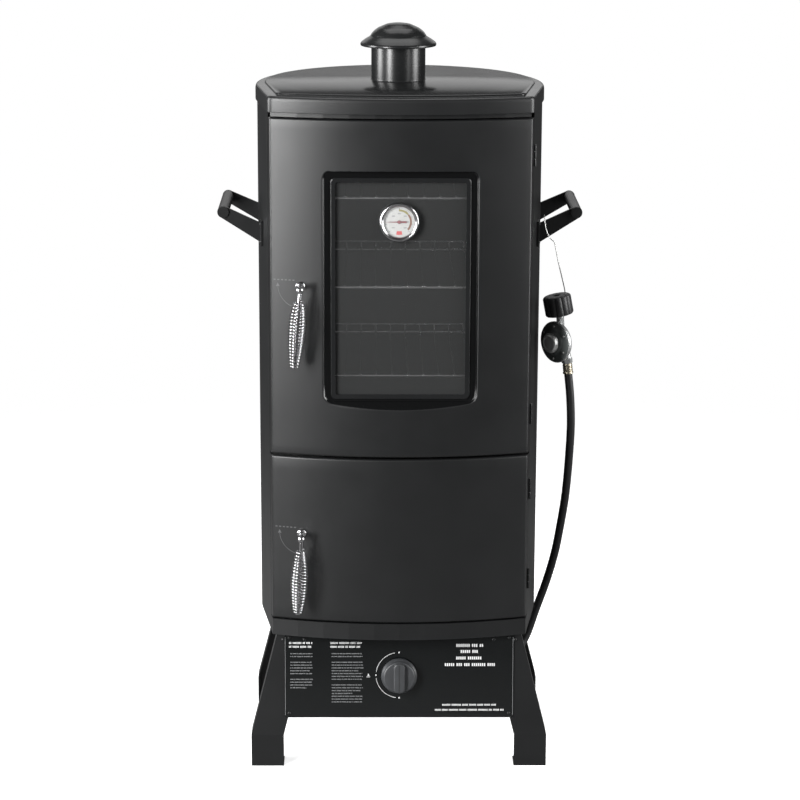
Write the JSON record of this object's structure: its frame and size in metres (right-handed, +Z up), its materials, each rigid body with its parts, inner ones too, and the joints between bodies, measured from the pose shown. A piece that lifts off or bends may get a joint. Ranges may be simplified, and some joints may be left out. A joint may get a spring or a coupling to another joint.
{
  "type": "vertical gas smoker",
  "caption": "Free-standing vertical cabinet smoker with bowed hinged doors, a window with a dial thermometer, wire racks, pans, a chimney cap and a gas hose with a regulator.",
  "frame": {"origin": "middle of the footprint, on the floor, measured without the hose and what is on it", "axes": "+Z up; the doors face -Y; +X to the right of someone who faces the doors"},
  "size_m": [0.6066, 0.4852, 1.2389],
  "materials": {
    "black_enamel": "satin",
    "gloss_enamel": "gloss",
    "bright_steel": "satin",
    "gasket_rope": "matte",
    "clear_glass": "polished",
    "chrome": "polished",
    "chrome_wire": "polished",
    "bright_zinc": "satin",
    "dial_white": "satin",
    "needle_red": "satin",
    "cast_iron": "matte",
    "white_ceramic": "satin",
    "brass": "satin",
    "cast_zinc": "matte",
    "dark_cover": "satin",
    "black_plastic": "matte",
    "knob_plastic": "satin",
    "black_rubber": "matte"
  },
  "bodies": {
    "cabinet": {"cabinet_shell": "black_enamel", "front_frame": "black_enamel", "roof_lid": "black_enamel", "chimney_pipe": "black_enamel", "left_side_handle": "black_enamel", "right_side_handle": "black_enamel", "front_left_leg": "black_enamel", "front_right_leg": "black_enamel", "rear_left_leg": "black_enamel", "rear_right_leg": "black_enamel", "control_panel": "gloss_enamel", "left_rack_rail": "bright_steel", "right_rack_rail": "bright_steel", "upper_top_hinge_pin": "bright_zinc", "upper_bottom_hinge_pin": "bright_zinc", "lower_top_hinge_pin": "bright_zinc", "lower_bottom_hinge_pin": "bright_zinc", "regulator_wire": "bright_zinc", "burner_tube": "cast_iron", "burner_head": "cast_iron", "igniter_electrode": "white_ceramic", "gas_valve": "brass", "hose_ferrule": "brass", "regulator_body": "cast_zinc", "regulator_cover": "dark_cover", "gas_hose": "black_rubber"},
    "upper_door": {"upper_door_skin": "black_enamel", "upper_door_liner": "bright_steel", "upper_door_gasket": "gasket_rope", "window_bezel": "gloss_enamel", "window_glass": "clear_glass", "glass_retainer": "black_enamel", "thermometer_case": "chrome", "thermometer_dial": "dial_white", "thermometer_lens": "clear_glass", "thermometer_nut": "bright_zinc"},
    "lower_door": {"lower_door_skin": "black_enamel", "lower_door_liner": "bright_steel", "lower_door_gasket": "gasket_rope"},
    "upper_latch": {"upper_latch_rod": "chrome", "upper_latch_grip": "chrome", "upper_latch_cam": "bright_zinc"},
    "lower_latch": {"lower_latch_rod": "chrome", "lower_latch_grip": "chrome", "lower_latch_cam": "bright_zinc"},
    "chimney_cap": {"chimney_cap": "black_enamel", "cap_stud": "bright_zinc"},
    "needle": {"thermometer_needle": "needle_red"},
    "valve_stem": {"valve_stem": "brass"},
    "knob": {"control_knob": "knob_plastic"},
    "handwheel": {"tank_handwheel": "black_plastic"},
    "upper_rack": {"upper_rack": "chrome_wire"},
    "middle_rack": {"middle_rack": "chrome_wire"},
    "lower_rack": {"lower_rack": "chrome_wire"},
    "water_pan": {"water_pan": "black_enamel"},
    "chip_pan": {"chip_pan": "cast_iron"},
    "grease_tray": {"grease_tray": "bright_steel"}
  },
  "joints": [
    {"name": "upper_door_hinge", "type": "hinge", "parent": "cabinet", "child": "upper_door", "pos_m": [0.2175, -0.161, 0.8265], "axis": [0, 0, 1], "range_deg": [0, 110]},
    {"name": "lower_door_hinge", "type": "hinge", "parent": "cabinet", "child": "lower_door", "pos_m": [0.2175, -0.161, 0.4025], "axis": [0, 0, 1], "range_deg": [0, 110]},
    {"name": "upper_latch_turn", "type": "hinge", "parent": "upper_door", "child": "upper_latch", "pos_m": [-0.1632, -0.19359, 0.8326], "axis": [0, 1, 0], "range_deg": [0, 90]},
    {"name": "lower_latch_turn", "type": "hinge", "parent": "lower_door", "child": "lower_latch", "pos_m": [-0.1632, -0.19359, 0.413], "axis": [0, 1, 0], "range_deg": [0, 90]},
    {"name": "cap_height", "type": "slide", "parent": "cabinet", "child": "chimney_cap", "axis": [0, 0, 1], "range_m": [0, 0.015]},
    {"name": "needle_turn", "type": "hinge", "parent": "upper_door", "child": "needle", "pos_m": [-0.0026, -0.2032, 0.9398], "axis": [0, 1, 0], "range_deg": [-45, 225]},
    {"name": "valve_turn", "type": "hinge", "parent": "cabinet", "child": "valve_stem", "pos_m": [0, -0.186, 0.15964], "axis": [0, -0.9937, 0.1117], "range_deg": [0, 180]},
    {"name": "knob_push", "type": "slide", "parent": "valve_stem", "child": "knob", "axis": [0, 0.9937, -0.1117], "range_m": [0, 0.003], "stiffness_N_per_m": 600, "springref_m": -0.004},
    {"name": "handwheel_turn", "type": "hinge", "parent": "cabinet", "child": "handwheel", "pos_m": [0.26924, -0.0792, 0.76011], "axis": [-0.1903, 0, 0.9817], "continuous": true},
    {"name": "upper_rack_slide", "type": "slide", "parent": "cabinet", "child": "upper_rack", "axis": [0, -1, 0], "range_m": [0, 0.008]},
    {"name": "middle_rack_slide", "type": "slide", "parent": "cabinet", "child": "middle_rack", "axis": [0, -1, 0], "range_m": [0, 0.008]},
    {"name": "lower_rack_slide", "type": "slide", "parent": "cabinet", "child": "lower_rack", "axis": [0, -1, 0], "range_m": [0, 0.008]},
    {"name": "water_pan_slide", "type": "slide", "parent": "cabinet", "child": "water_pan", "axis": [0, -1, 0], "range_m": [0, 0.015]},
    {"name": "chip_pan_slide", "type": "slide", "parent": "cabinet", "child": "chip_pan", "axis": [0, -1, 0], "range_m": [0, 0.015]},
    {"name": "grease_tray_slide", "type": "slide", "parent": "cabinet", "child": "grease_tray", "axis": [0, 1, 0], "range_m": [0, 0.15]}
  ]
}
